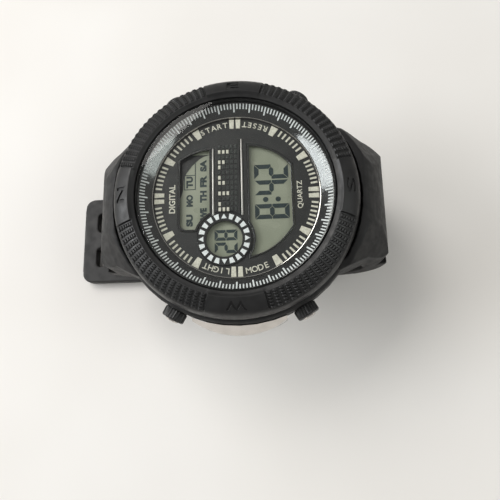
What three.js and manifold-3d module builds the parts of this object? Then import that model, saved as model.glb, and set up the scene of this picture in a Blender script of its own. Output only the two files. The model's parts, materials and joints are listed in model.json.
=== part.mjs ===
// Digital sports wristwatch: round resin case with a turning compass bezel, four push buttons,
// a display module and a curved resin strap with a double-prong buckle.
// Millimetres. +Z is up through the dial, +Y points to 12 o'clock, +X to 3 o'clock.
// The origin is on the flat underside of the strap, straight below the middle of the dial.
import * as THREE from 'three';
import { mergeVertices } from 'three/addons/utils/BufferGeometryUtils.js';
import Module from 'manifold-3d';

const wasm = await Module();
wasm.setup();

// ---------- driving dimensions ----------
const DIAL_Z = 34.0; // top face of the dial above the strap's resting face
const ROUND = 48; // sides of a large circle
const SMALL_ROUND = 16; // sides of a pin, screw or button
const WELD = 1e-4;
const FAR = 80; // longer than anything it cuts

const CASE_R = 24.6;
const CASE_BACK_Z = DIAL_Z - 10.5;
const CASE_LEDGE_Z = DIAL_Z - 1.7; // the bezel turns just above this ledge
const NECK_R = 22.1;
const NECK_TOP = DIAL_Z + 2.9;
const MODULE_BORE_R = 18.2;
const GUARD_R = 26.3; // rim that guards the buttons
const GUARD_ANGLE = 52; // degrees either side of 3 and 9 o'clock

const BEZEL_BORE_R = 22.5;
const BEZEL_R = 25.6;
const BEZEL_BOTTOM = DIAL_Z - 1.4;
const BEZEL_TOP = DIAL_Z + 4.1;
const BLOCK_ANGLE = 29; // one smooth block at each compass point
const RIDGES_PER_ZONE = 12;
const RIDGE_WIDTH = 1.1;
const RIDGE_THICKNESS = 0.7;
const GRIP_INNER = [21.6, BEZEL_TOP - 0.45]; // radius and height where the ridges start
const GRIP_OUTER = [24.7, BEZEL_TOP - 1.95];
const BEZEL_LIP_R = 20.5; // the bezel covers the crystal's gasket

const CRYSTAL_R = 20.2;
const CRYSTAL_Z = DIAL_Z + 2.5;
const CRYSTAL_T = 1.4;

const SUBDIAL = { x: -9.2, y: 2.5, hole: 3.7, outer: 5.6 };
const FRAME_LINE = 0.4; // width of the thin window frames
const FIT = 0.08; // gap round an inserted trim piece

const TONGUE = { inner: 23.7, outer: 27, half: 5, rise: 0.7 }; // holds a side plate in the case

const BUTTON_Z = DIAL_Z - 5.2;
const BUTTON_REACH = 28.9; // outer end of the cap from the dial axis
const BUTTON_CAP_R = 2.45;
const BUTTON_CAP_BASE = 25.5;
const BUTTON_WELL_FLOOR = 22.6;
const BUTTON_STEM_R = 0.85;
const BUTTON_TRAVEL = 1.0;
const BUTTONS = { start: 60, reset: 120, mode: 240, light: 300 }; // degrees clockwise from 12

const STRAP_HALF_WIDTH = 11.5;
const STRAP_T = 2.6;
const STRAP_PIVOT_Z = DIAL_Z - 15;
const PIVOT_6_Y = -29.8;
const PIVOT_12_Y = 29.0;
const KNUCKLE_R = 2.9;
const SEAT_R = 3.85;
const LUG_IN = 10.6; // the strap's knuckle turns between the lug cheeks
const LUG_OUT = 12.9;
const SPRING_BAR_R = 0.85;
const SPRING_BAR_END = 11.7;
const TAIL_TIP_Y = 44.0;
const UPPER_LAYER_Z = 7.2; // underside of the buckle half where it lies over the tail
const SLOT = { x: 4.75, width: 5.2, length: 2.1, first: 39.3, pitch: 7, rows: 7 };

const BUCKLE_Y = -1.2;
const BUCKLE_Z = UPPER_LAYER_Z + STRAP_T / 2;
const BUCKLE_BAR_R = 0.75;
const BUCKLE_END_R = 1.9;
const FRAME_IN = 12.0;
const FRAME_OUT = 13.7;
const FRAME_FAR_Y = -14.4;
const KEEPER_Y = 11;

// ---------- materials ----------
const paint = (color, roughness, metalness = 0, extra = {}) =>
  new THREE.MeshStandardMaterial({ color, roughness, metalness, ...extra });
const resin = paint(0x1e1e1e, 0.55);
const strapResin = paint(0x2a2928, 0.6);
const glossBlack = paint(0x0d0d0e, 0.15);
const dialBlack = paint(0x2b2c2b, 0.45);
const steel = paint(0xc4bab0, 0.25, 1);
const darkSteel = paint(0x3a3a3c, 0.35, 1);
const glass = paint(0xe8f0f2, 0.05, 0, { transparent: true, opacity: 0.2 });
const lcd = paint(0x9fa593, 0.3);
const whitePlastic = paint(0xd8d6ce, 0.5);
const boardGreen = paint(0x1f5a34, 0.6);
const rubber = paint(0x161616, 0.8);
const brass = paint(0xb08d3c, 0.35, 1);

// ---------- solids ----------
function toSolid(geometry) {
  const plain = geometry.clone();
  plain.deleteAttribute('normal');
  plain.deleteAttribute('uv');
  const merged = mergeVertices(plain, WELD);
  const index = merged.index.array;
  const triVerts = [];
  for (let i = 0; i < index.length; i += 3) {
    const [a, b, c] = [index[i], index[i + 1], index[i + 2]];
    if (a !== b && b !== c && c !== a) triVerts.push(a, b, c);
  }
  const vertProperties = new Float32Array(merged.attributes.position.array);
  const mesh = new wasm.Mesh({ numProp: 3, vertProperties, triVerts: new Uint32Array(triVerts) });
  return new wasm.Manifold(mesh);
}

function toGeometry(solid) {
  const mesh = solid.getMesh();
  const geometry = new THREE.BufferGeometry();
  geometry.setAttribute('position', new THREE.BufferAttribute(mesh.vertProperties, 3));
  geometry.setIndex(new THREE.BufferAttribute(mesh.triVerts, 1));
  return geometry;
}

const joined = (solids) => solids.reduce((sum, solid) => sum.add(solid));

// A closed profile of [radius, height] points, turned about Z. It runs up the outside and down the inside.
function turned(profile, sides = ROUND) {
  const points = profile.map(([r, z]) => new THREE.Vector2(r, z));
  const closes = profile[0][0] > 0 || profile.at(-1)[0] > 0;
  if (closes) points.push(points[0].clone());
  return toSolid(new THREE.LatheGeometry(points, sides).rotateX(Math.PI / 2));
}

const ring = (inner, outer, low, high, sides = ROUND) =>
  turned([[inner, low], [outer, low], [outer, high], [inner, high]], sides);

const disc = (radius, low, high, sides = ROUND) =>
  turned([[0, low], [radius, low], [radius, high], [0, high]], sides);

function box(low, high) {
  const size = high.map((value, axis) => value - low[axis]);
  const middle = high.map((value, axis) => (value + low[axis]) / 2);
  return toSolid(new THREE.BoxGeometry(...size).translate(...middle));
}

// A flat outline in X and Y, raised from low to high.
function plate(shape, low, high, curveSegments = 12) {
  const depth = high - low;
  const geometry = new THREE.ExtrudeGeometry(shape, { depth, bevelEnabled: false, curveSegments });
  return toSolid(geometry.translate(0, 0, low));
}

// An outline in Y and Z, extruded along X from -half to half.
function sideExtrusion(shape, half) {
  const geometry = new THREE.ExtrudeGeometry(shape, { depth: 2 * half, bevelEnabled: false });
  const turn = new THREE.Matrix4().makeBasis(
    new THREE.Vector3(0, 1, 0), new THREE.Vector3(0, 0, 1), new THREE.Vector3(1, 0, 0));
  return toSolid(geometry.applyMatrix4(turn).translate(-half, 0, 0));
}

// A round bar along X from x0 to x1, through the point (y, z).
function crossBar(radius, x0, x1, y, z, sides = SMALL_ROUND) {
  const geometry = new THREE.CylinderGeometry(radius, radius, x1 - x0, sides).rotateZ(Math.PI / 2);
  return toSolid(geometry.translate((x0 + x1) / 2, y, z));
}

// Both the +X and the -X copy of a span along X.
const onBothSides = (make) => joined([make(1), make(-1)]);

const inOrder = (first, second) => [Math.min(first, second), Math.max(first, second)];

function sector(middle, halfAngle, radius) {
  const shape = new THREE.Shape();
  const [start, end] = [middle - halfAngle, middle + halfAngle].map(THREE.MathUtils.degToRad);
  shape.moveTo(0, 0);
  shape.lineTo(radius * Math.cos(start), radius * Math.sin(start));
  shape.absarc(0, 0, radius, start, end, false);
  shape.lineTo(0, 0);
  return shape;
}

function stadium(x, y, width, length) {
  const [run, r] = [width / 2 - length / 2, length / 2];
  const shape = new THREE.Shape();
  shape.moveTo(x - run, y - r);
  shape.lineTo(x + run, y - r);
  shape.absarc(x + run, y, r, -Math.PI / 2, Math.PI / 2, false);
  shape.lineTo(x - run, y + r);
  shape.absarc(x - run, y, r, Math.PI / 2, 1.5 * Math.PI, false);
  return shape;
}

function circle(x, y, radius) {
  const shape = new THREE.Shape();
  shape.absarc(x, y, radius, 0, 2 * Math.PI, false);
  return shape;
}

// A piece on a button's own axis is drawn about Z, from the dial axis outward,
// and then laid on its clock angle.
function onButtonAxis(solid, clockDegrees) {
  const angle = THREE.MathUtils.degToRad(90 - clockDegrees);
  const geometry = toGeometry(solid).rotateY(Math.PI / 2).rotateZ(angle).translate(0, 0, BUTTON_Z);
  return toSolid(geometry);
}

// ---------- case ----------
function caseTurning() {
  return turned([
    [22.5, CASE_BACK_Z], [24.1, CASE_BACK_Z], [CASE_R, CASE_BACK_Z + 0.8], [CASE_R, CASE_LEDGE_Z],
    [NECK_R, CASE_LEDGE_Z], [NECK_R, NECK_TOP], [21.3, NECK_TOP], [21.3, DIAL_Z + 2.2],
    [20.5, DIAL_Z + 2.2],
    [20.5, DIAL_Z - 0.6], [MODULE_BORE_R, DIAL_Z - 0.6], [MODULE_BORE_R, CASE_BACK_Z + 2.4],
    [19.5, CASE_BACK_Z + 2.4], [19.5, CASE_BACK_Z + 1.4], [22.5, CASE_BACK_Z + 1.4],
  ]);
}

function buttonGuard(middle) {
  const rim = turned([
    [MODULE_BORE_R + 1, CASE_BACK_Z + 2.6], [GUARD_R - 0.9, CASE_BACK_Z + 2.6],
    [GUARD_R, CASE_BACK_Z + 3.6], [GUARD_R, CASE_LEDGE_Z - 0.7],
    [GUARD_R - 0.5, CASE_LEDGE_Z], [MODULE_BORE_R + 1, CASE_LEDGE_Z],
  ]);
  return rim.intersect(plate(sector(middle, GUARD_ANGLE, FAR), 0, FAR));
}

// Seen from above, the shoulders' upper corners follow an ellipse that widens further down.
function shoulderSweep(out) {
  const [low, high] = [STRAP_PIVOT_Z - 5, DIAL_Z + 1];
  const reach = (z) => out - 2 + 0.7 * (DIAL_Z - 3 - z);
  return turned([[0, low], [reach(low), low], [reach(high), high], [0, high]]).scale([0.76, 1, 1]);
}

// The case shoulder flows from the bezel down to the strap's pivot and widens towards the case.
function shoulder(side, pivotY) {
  const out = Math.abs(pivotY) + KNUCKLE_R;
  const profile = new THREE.Shape();
  profile.moveTo(side * 19.5, CASE_BACK_Z + 1.4);
  profile.lineTo(side * (out - 6.4), STRAP_PIVOT_Z + 2.6);
  profile.lineTo(side * (out - 5.4), STRAP_PIVOT_Z - 1.8);
  profile.lineTo(side * (out - 2.9), STRAP_PIVOT_Z - 2.6);
  profile.lineTo(side * (out - 0.9), STRAP_PIVOT_Z - 1.9);
  profile.lineTo(side * (out - 0.2), STRAP_PIVOT_Z + 0.2);
  profile.bezierCurveTo(
    side * out, STRAP_PIVOT_Z + 6, side * (out - 2.2), DIAL_Z - 2.6, side * (out - 6.2), DIAL_Z + 0.2);
  profile.lineTo(side * 19.5, DIAL_Z + 0.2);
  const outline = new THREE.Shape();
  const [wide, corner, start] = [17.2, 3.4, out - 5.5];
  outline.moveTo(-wide, side * 12);
  outline.bezierCurveTo(-wide, side * 21, -14, side * 24, -LUG_OUT, side * start);
  outline.quadraticCurveTo(-LUG_OUT, side * (out - 1), corner - LUG_OUT, side * (out + 0.5));
  outline.lineTo(LUG_OUT - corner, side * (out + 0.5));
  outline.quadraticCurveTo(LUG_OUT, side * (out - 1), LUG_OUT, side * start);
  outline.bezierCurveTo(14, side * 24, wide, side * 21, wide, side * 12);
  const crown = new THREE.Shape();
  crown.moveTo(-18, 0);
  crown.lineTo(18, 0);
  crown.lineTo(18, DIAL_Z - 7);
  crown.bezierCurveTo(17.4, DIAL_Z - 2.2, 12, DIAL_Z + 0.2, 6, DIAL_Z + 0.4);
  crown.lineTo(-6, DIAL_Z + 0.4);
  crown.bezierCurveTo(-12, DIAL_Z + 0.2, -17.4, DIAL_Z - 2.2, -18, DIAL_Z - 7);
  const crownGeometry = new THREE.ExtrudeGeometry(crown, { depth: FAR, bevelEnabled: false });
  const crownSolid = toSolid(crownGeometry.rotateX(Math.PI / 2).translate(0, FAR / 2, 0));
  const solid = sideExtrusion(profile, FAR / 2).intersect(plate(outline, 0, FAR)).intersect(crownSolid);
  return solid.intersect(shoulderSweep(out));
}

// Room for the strap's knuckle between the lug cheeks, and blind holes for the spring bar.
function strapSeat(side, pivotY) {
  const knuckleRoom = crossBar(SEAT_R, -LUG_IN, LUG_IN, pivotY, STRAP_PIVOT_Z, 36);
  const below = new THREE.Shape();
  below.moveTo(pivotY - side * SEAT_R, STRAP_PIVOT_Z);
  below.lineTo(pivotY + side * 9, STRAP_PIVOT_Z);
  below.lineTo(pivotY + side * 9, STRAP_PIVOT_Z - 9);
  below.lineTo(pivotY - side * SEAT_R, STRAP_PIVOT_Z - 9);
  const holeEnd = SPRING_BAR_END + 0.3;
  const barHole = crossBar(SPRING_BAR_R + 0.15, -holeEnd, holeEnd, pivotY, STRAP_PIVOT_Z);
  return joined([knuckleRoom, sideExtrusion(below, LUG_IN), barHole]);
}

function buttonWell(clockDegrees) {
  const well = joined([
    disc(BUTTON_CAP_R + 0.3, BUTTON_WELL_FLOOR, FAR, SMALL_ROUND),
    disc(BUTTON_STEM_R + 0.15, MODULE_BORE_R - 1, FAR, SMALL_ROUND),
    disc(1.85, 19.6, 21.7, SMALL_ROUND),
  ]);
  return onButtonAxis(well, clockDegrees);
}

function screwPlaces() {
  return [45, 135, 225, 315].map((degrees) => {
    const angle = THREE.MathUtils.degToRad(degrees);
    return [20.7 * Math.cos(angle), 20.7 * Math.sin(angle)];
  });
}

const screwHole = ([x, y], radius, low, high) => plate(circle(x, y, radius), low, high, 6);

function tongueSlot(side) {
  const [near, far] = inOrder(side * (TONGUE.inner - 0.3), side * TONGUE.outer);
  const [half, rise] = [TONGUE.half + 0.3, TONGUE.rise + 0.3];
  return box([near, -half, BUTTON_Z - rise], [far, half, BUTTON_Z + rise]);
}

function caseBody() {
  const bezelRoom = ring(NECK_R, BEZEL_R + 0.3, CASE_LEDGE_Z, FAR);
  const bore = turned([
    [0, 0], [22.5, 0], [22.5, CASE_BACK_Z + 1.4], [19.5, CASE_BACK_Z + 1.4], [19.5, CASE_BACK_Z + 2.4],
    [MODULE_BORE_R, CASE_BACK_Z + 2.4], [MODULE_BORE_R, DIAL_Z - 0.6], [20.5, DIAL_Z - 0.6],
    [20.5, FAR], [0, FAR],
  ]);
  const shoulders = [shoulder(1, PIVOT_12_Y), shoulder(-1, PIVOT_6_Y)];
  const skirt = joined([buttonGuard(0), buttonGuard(180), ...shoulders]);
  const cuts = [
    strapSeat(1, PIVOT_12_Y), strapSeat(-1, PIVOT_6_Y),
    ...Object.values(BUTTONS).map(buttonWell),
    ...screwPlaces().map((place) => screwHole(place, 0.9, CASE_BACK_Z + 1, CASE_BACK_Z + 5)),
    onBothSides(tongueSlot),
  ];
  return caseTurning().add(skirt.subtract(bezelRoom).subtract(bore)).subtract(joined(cuts));
}

// Polished plate between the two buttons of one side, held by a tongue in the case.
function sidePlate(side) {
  const [reach, endX, endY] = [28.3, 25.3, 9.7];
  const sagitta = reach - endX;
  const bulge = (endY * endY + sagitta * sagitta) / (2 * sagitta);
  const outline = circle(side * (reach - bulge), 0, bulge);
  const inner = GUARD_R + 0.25;
  const flank = turned([
    [inner, BUTTON_Z - 3.6], [28.5, BUTTON_Z - 1.2], [28.5, BUTTON_Z - 0.9], [inner, BUTTON_Z + 2.2],
  ]);
  const [near, far] = inOrder(side * TONGUE.inner, side * TONGUE.outer);
  const tongue = box(
    [near, -TONGUE.half, BUTTON_Z - TONGUE.rise], [far, TONGUE.half, BUTTON_Z + TONGUE.rise]);
  const [low, high] = inOrder(side * 20, side * 40);
  const span = box([low, -endY, 0], [high, endY, FAR]);
  return plate(outline, 0, FAR, 40).intersect(flank).intersect(span).add(tongue);
}

// ---------- bezel ----------
const bezelTurning = () => turned([
  [BEZEL_BORE_R, BEZEL_BOTTOM], [BEZEL_R - 0.1, BEZEL_BOTTOM], [BEZEL_R, BEZEL_BOTTOM + 1],
  [BEZEL_R - 0.3, BEZEL_TOP - 2.9], [24.9, BEZEL_TOP - 2], [23.7, BEZEL_TOP - 1.2], [22.5, BEZEL_TOP - 0.6],
  [21.2, BEZEL_TOP - 0.15], [BEZEL_LIP_R + 0.4, BEZEL_TOP], [BEZEL_LIP_R, BEZEL_TOP - 0.2],
  [BEZEL_LIP_R, NECK_TOP + 0.3], [BEZEL_BORE_R, NECK_TOP + 0.3],
]);

// The smooth blocks stand proud of the grip by about the height of its ridges.
const blockTurning = () => turned([
  [21.6, BEZEL_TOP - 0.6], [24.6, BEZEL_TOP - 2.4], [24.95, BEZEL_TOP - 1.75], [24.65, BEZEL_TOP - 1.4],
  [23.7, BEZEL_TOP - 0.75], [22.4, BEZEL_TOP - 0.2], [21.4, BEZEL_TOP - 0.02],
]);

// One radial bar of the grip, lying on the bezel's slope.
function gripRidge(degrees) {
  const [run, drop] = [GRIP_OUTER[0] - GRIP_INNER[0], GRIP_INNER[1] - GRIP_OUTER[1]];
  const bar = new THREE.BoxGeometry(Math.hypot(run, drop), RIDGE_WIDTH, RIDGE_THICKNESS);
  bar.rotateY(Math.atan2(drop, run));
  bar.translate(GRIP_INNER[0] + run / 2, 0, GRIP_OUTER[1] + drop / 2 + 0.1);
  return toSolid(bar.rotateZ(THREE.MathUtils.degToRad(degrees)));
}

function bezelRing() {
  const blocks = [0, 90, 180, 270].map((middle) => plate(sector(middle, BLOCK_ANGLE / 2, FAR), 0, FAR));
  const zone = 90 - BLOCK_ANGLE;
  const bars = [];
  for (let quarter = 0; quarter < 4; quarter += 1) {
    for (let i = 0; i < RIDGES_PER_ZONE; i += 1) {
      bars.push(gripRidge(quarter * 90 + BLOCK_ANGLE / 2 + (zone * (i + 0.5)) / RIDGES_PER_ZONE));
    }
  }
  return bezelTurning().add(blockTurning().intersect(joined(blocks))).add(joined(bars));
}

// ---------- crystal and dial ----------
const crystal = () => turned([
  [0, CRYSTAL_Z], [CRYSTAL_R, CRYSTAL_Z], [CRYSTAL_R, CRYSTAL_Z + CRYSTAL_T - 0.3],
  [CRYSTAL_R - 0.3, CRYSTAL_Z + CRYSTAL_T], [0, CRYSTAL_Z + CRYSTAL_T],
]);

const crystalGasket = () => ring(CRYSTAL_R + 0.15, 21.1, DIAL_Z + 2.4, NECK_TOP);

const chapterRing = () => turned([
  [17.5, DIAL_Z + 0.1], [20.2, DIAL_Z + 0.1], [20.2, DIAL_Z + 2.1], [19.9, DIAL_Z + 2.1],
  [17.5, DIAL_Z + 0.6],
]);

// Lower window: straight top edge, sides that follow the dial's edge. grow widens it all round.
function timeWindow(grow) {
  const shape = new THREE.Shape();
  shape.moveTo(-13.0 - grow, -2.9 + grow);
  shape.quadraticCurveTo(-11.9 - grow, -8.2, -6.8 - grow / 2, -11.5 - grow);
  shape.lineTo(6.2 + grow / 2, -11.5 - grow);
  shape.quadraticCurveTo(10.4 + grow, -8.4, 11.0 + grow, -2.9 + grow);
  return shape;
}

// Upper window: straight bottom edge, curved right side, and a corner that the sub-dial cuts away.
function dayWindow(grow) {
  const shape = new THREE.Shape();
  shape.moveTo(-7.0 - grow, 5.5 - grow);
  shape.lineTo(10.4 + grow, 5.5 - grow);
  shape.quadraticCurveTo(10.2 + grow, 8.6, 8.2 + grow / 2, 11.7 + grow);
  shape.lineTo(-5.6 - grow / 2, 11.7 + grow);
  shape.quadraticCurveTo(-7.0 - grow, 11.6 + grow, -7.0 - grow, 10.2);
  return shape;
}

const subdialRoom = (extra) => plate(circle(SUBDIAL.x, SUBDIAL.y, SUBDIAL.outer + extra), 0, FAR, 24);

function window(outline, grow, low, high, clearance) {
  return plate(outline(grow), low, high, 8).subtract(subdialRoom(clearance));
}

function dialPlate() {
  const low = DIAL_Z - 0.4;
  const openings = [
    window(timeWindow, FRAME_LINE + FIT, 0, FAR, 0.3),
    window(dayWindow, FRAME_LINE + FIT, 0, FAR, 0.3),
    plate(circle(SUBDIAL.x, SUBDIAL.y, SUBDIAL.hole + 0.6), 0, FAR),
  ];
  return disc(20.1, low, DIAL_Z).subtract(joined(openings));
}

function windowFrame(outline) {
  const [low, high] = [DIAL_Z - 0.4, DIAL_Z + 0.2];
  return window(outline, FRAME_LINE, low, high, 0.4).subtract(window(outline, 0, 0, FAR, 0.8));
}

function subdialRing() {
  const { x, y, hole, outer } = SUBDIAL;
  const ringTop = plate(circle(x, y, outer), DIAL_Z + 0.1, DIAL_Z + 0.45, 24);
  const collar = plate(circle(x, y, hole + 0.45), DIAL_Z - 0.4, DIAL_Z + 0.2, 24);
  return ringTop.add(collar).subtract(plate(circle(x, y, hole), 0, FAR, 24));
}

// Raised grid panel in the band between the two windows.
function centrePanel() {
  const shape = new THREE.Shape();
  shape.moveTo(-6.5, -0.9);
  shape.lineTo(12.6, -0.9);
  shape.quadraticCurveTo(12.6, 1.8, 11.5, 4.4);
  shape.lineTo(-6.5, 4.4);
  return plate(shape, DIAL_Z + 0.1, DIAL_Z + 0.3, 8).subtract(subdialRoom(0.4));
}

// ---------- display module ----------
const lcdPanel = () => disc(16.2, DIAL_Z - 2.1, DIAL_Z - 0.7, 48);

function backlightPanel() {
  const panel = box([-12.5, -12.2, DIAL_Z - 3.0], [12.5, 12.2, DIAL_Z - 2.4]);
  return panel.intersect(disc(14.9, 0, FAR, 48));
}

function contactStrip(side) {
  const [low, high] = inOrder(side * 12.9, side * 14.2);
  return box([-4.5, low, DIAL_Z - 3.5], [4.5, high, DIAL_Z - 2.2]);
}

const circuitBoard = () => disc(15.0, DIAL_Z - 4.5, DIAL_Z - 3.7, 48);

const moduleFrame = () => turned([
  [15.2, CASE_BACK_Z + 2.2], [15.7, CASE_BACK_Z + 2.2], [15.7, DIAL_Z - 2.6], [17.9, DIAL_Z - 2.6],
  [17.9, DIAL_Z - 0.8], [16.5, DIAL_Z - 0.8], [16.5, DIAL_Z - 2.4], [15.2, DIAL_Z - 2.4],
], 48);

const battery = () => turned([
  [0, DIAL_Z - 7.4], [8.6, DIAL_Z - 7.4], [8.6, DIAL_Z - 7.1], [10, DIAL_Z - 6.9], [10, DIAL_Z - 4.9],
  [0, DIAL_Z - 4.9],
], 48);

function batteryClip() {
  const strip = box([-3, -13.6, DIAL_Z - 8.1], [3, 13.6, DIAL_Z - 7.7]);
  const feet = [1, -1].map((s) => {
    const [low, high] = inOrder(s * 13.2, s * 13.6);
    return box([-3, low, DIAL_Z - 8.1], [3, high, DIAL_Z - 4.7]);
  });
  return joined([strip, ...feet]);
}

const sounderDisc = () => disc(13.2, CASE_BACK_Z + 1.5, CASE_BACK_Z + 1.8, 48);

function sounderSpring() {
  const tube = ring(0.7, 1.1, CASE_BACK_Z + 2.0, DIAL_Z - 4.7, 16);
  return toSolid(toGeometry(tube).translate(12.2, 0, 0));
}

// ---------- case back ----------
function caseBack() {
  const cover = turned([
    [0, CASE_BACK_Z], [22.0, CASE_BACK_Z], [22.25, CASE_BACK_Z + 0.25], [22.25, CASE_BACK_Z + 1.25],
    [0, CASE_BACK_Z + 1.25],
  ]);
  const holes = screwPlaces().flatMap((place) => [
    screwHole(place, 0.9, 0, FAR),
    screwHole(place, 1.35, 0, CASE_BACK_Z + 0.65),
  ]);
  return cover.subtract(joined(holes));
}

const caseGasket = () => ring(18.5, 19.3, CASE_BACK_Z + 1.6, CASE_BACK_Z + 2.2, 60);

function backScrew([x, y]) {
  const head = disc(1.15, CASE_BACK_Z + 0.05, CASE_BACK_Z + 0.55, SMALL_ROUND);
  const shank = disc(0.7, CASE_BACK_Z + 0.3, CASE_BACK_Z + 4.4, SMALL_ROUND);
  const slot = box([-0.15, -2, 0], [0.15, 2, CASE_BACK_Z + 0.25]);
  return toSolid(toGeometry(head.add(shank).subtract(slot)).translate(x, y, 0));
}

// ---------- buttons ----------
function buttonBody() {
  const cap = turned([
    [0, BUTTON_CAP_BASE], [BUTTON_CAP_R, BUTTON_CAP_BASE], [BUTTON_CAP_R, BUTTON_REACH - 0.5],
    [BUTTON_CAP_R - 0.5, BUTTON_REACH], [0, BUTTON_REACH],
  ], SMALL_ROUND);
  const stem = joined([
    disc(BUTTON_STEM_R, 18.15, BUTTON_CAP_BASE + 0.5, SMALL_ROUND),
    disc(0.6, 17.2, 18.6, SMALL_ROUND),
    disc(BUTTON_STEM_R, 17.2, 17.6, SMALL_ROUND),
  ]);
  return cap.add(stem);
}

// Drawn as short as it is with the button pressed.
function buttonSpring() {
  return ring(1.2, 2.1, BUTTON_WELL_FLOOR + 0.25, BUTTON_CAP_BASE - BUTTON_TRAVEL - 0.25, 16);
}

const buttonSeal = () => ring(BUTTON_STEM_R + 0.08, 1.7, 20.75, 21.4, 16);
const buttonClip = () => ring(0.7, 1.8, 17.7, 18.0, 16);

// ---------- strap ----------
// A band whose outer line is a bezier from the knuckle and then straight.
// Its inner line lies one thickness inside.
function bandProfile(curve, straightEndY, startT, endT) {
  const steps = 16;
  const inwardSign = Math.sign(straightEndY - curve.v0.x);
  const outer = curve.getPoints(steps);
  const inner = outer.map((point, i) => {
    const tangent = curve.getTangent(i / steps);
    const thickness = THREE.MathUtils.lerp(startT, endT, Math.min(1, (1.6 * i) / steps));
    const inward = new THREE.Vector2(-tangent.y, tangent.x);
    return point.clone().addScaledVector(inward, thickness * inwardSign);
  });
  const base = outer.at(-1).y;
  const end = [new THREE.Vector2(straightEndY, base), new THREE.Vector2(straightEndY, base + endT)];
  return new THREE.Shape([...outer, ...end, ...inner.reverse()]);
}

const at = (y, z) => new THREE.Vector2(y, z);

// Cuts a band free of the lug cheeks and leaves its knuckle between them.
function withKnuckle(band, pivotY) {
  const cheekRoom = onBothSides((s) => {
    const [low, high] = inOrder(s * (LUG_IN - 0.3), s * 20);
    return crossBar(KNUCKLE_R + 0.5, low, high, pivotY, STRAP_PIVOT_Z, 36);
  });
  const knuckle = crossBar(KNUCKLE_R, 0.3 - LUG_IN, LUG_IN - 0.3, pivotY, STRAP_PIVOT_Z, 36);
  const hole = crossBar(SPRING_BAR_R + 0.15, -20, 20, pivotY, STRAP_PIVOT_Z);
  return band.subtract(cheekRoom).add(knuckle).subtract(hole);
}

// Half width of the strap along its length: a little wider at the case.
function strapOutline(rootY, tipY, cornerR) {
  const [root, half, toward] = [STRAP_HALF_WIDTH + 0.6, STRAP_HALF_WIDTH, Math.sign(tipY - rootY)];
  const shape = new THREE.Shape();
  shape.moveTo(-root, rootY);
  shape.lineTo(-half, rootY + toward * 18);
  shape.lineTo(-half, tipY - toward * cornerR);
  shape.quadraticCurveTo(-half, tipY, -half + cornerR, tipY);
  shape.lineTo(half - cornerR, tipY);
  shape.quadraticCurveTo(half, tipY, half, tipY - toward * cornerR);
  shape.lineTo(half, rootY + toward * 18);
  shape.lineTo(root, rootY);
  return shape;
}

function strapSlots() {
  const slots = [];
  for (let row = 0; row < SLOT.rows; row += 1) {
    for (const side of [1, -1]) {
      const y = SLOT.first - row * SLOT.pitch;
      slots.push(plate(stadium(side * SLOT.x, y, SLOT.width, SLOT.length), -1, STRAP_T + 1, 4));
    }
  }
  return joined(slots);
}

function strap6() {
  const startY = PIVOT_6_Y - KNUCKLE_R;
  const curve = new THREE.CubicBezierCurve(
    at(startY, STRAP_PIVOT_Z), at(startY - 1.3, 8), at(-27, 0), at(-14, 0));
  const band = sideExtrusion(bandProfile(curve, TAIL_TIP_Y, 4.4, STRAP_T), FAR / 2);
  const cut = band.intersect(plate(strapOutline(-36, TAIL_TIP_Y, 3), -1, FAR, 8));
  return withKnuckle(cut, PIVOT_6_Y).subtract(strapSlots());
}

function strap12() {
  const startY = PIVOT_12_Y + KNUCKLE_R;
  const curve = new THREE.CubicBezierCurve(
    at(startY, STRAP_PIVOT_Z), at(startY + 1.1, 12), at(28.5, UPPER_LAYER_Z), at(16, UPPER_LAYER_Z));
  const band = sideExtrusion(bandProfile(curve, BUCKLE_Y, 4.4, STRAP_T), FAR / 2);
  const cut = band.intersect(plate(strapOutline(36, BUCKLE_Y - 3, 0.5), -1, FAR, 8));
  const end = crossBar(BUCKLE_END_R, -STRAP_HALF_WIDTH, STRAP_HALF_WIDTH, BUCKLE_Y, BUCKLE_Z, 24);
  const prongRoom = box([-6.4, -FAR, 0], [6.4, BUCKLE_Y + 2.5, BUCKLE_Z + 6]);
  const barHole = crossBar(BUCKLE_BAR_R + 0.15, -20, 20, BUCKLE_Y, BUCKLE_Z);
  return withKnuckle(cut.add(end), PIVOT_12_Y).subtract(prongRoom).subtract(barHole);
}

const springBar = (pivotY) => crossBar(SPRING_BAR_R, -SPRING_BAR_END, SPRING_BAR_END, pivotY, STRAP_PIVOT_Z);

// ---------- buckle ----------
function buckleFrame() {
  const outline = new THREE.Shape();
  outline.moveTo(FRAME_OUT, BUCKLE_Y + 1.6);
  outline.lineTo(FRAME_IN, BUCKLE_Y + 1.6);
  outline.lineTo(FRAME_IN, FRAME_FAR_Y + 2.0);
  outline.lineTo(-FRAME_IN, FRAME_FAR_Y + 2.0);
  outline.lineTo(-FRAME_IN, BUCKLE_Y + 1.6);
  outline.lineTo(-FRAME_OUT, BUCKLE_Y + 1.6);
  outline.lineTo(-FRAME_OUT, FRAME_FAR_Y + 2);
  outline.quadraticCurveTo(-FRAME_OUT, FRAME_FAR_Y, 2 - FRAME_OUT, FRAME_FAR_Y);
  outline.lineTo(FRAME_OUT - 2, FRAME_FAR_Y);
  outline.quadraticCurveTo(FRAME_OUT, FRAME_FAR_Y, FRAME_OUT, FRAME_FAR_Y + 2);
  const barHole = crossBar(BUCKLE_BAR_R + 0.1, -20, 20, BUCKLE_Y, BUCKLE_Z);
  return plate(outline, BUCKLE_Z - 1.0, BUCKLE_Z + 1.0, 6).subtract(barHole);
}

const buckleBar = () => crossBar(BUCKLE_BAR_R, 0.1 - FRAME_OUT, FRAME_OUT - 0.1, BUCKLE_Y, BUCKLE_Z, 16);

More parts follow.
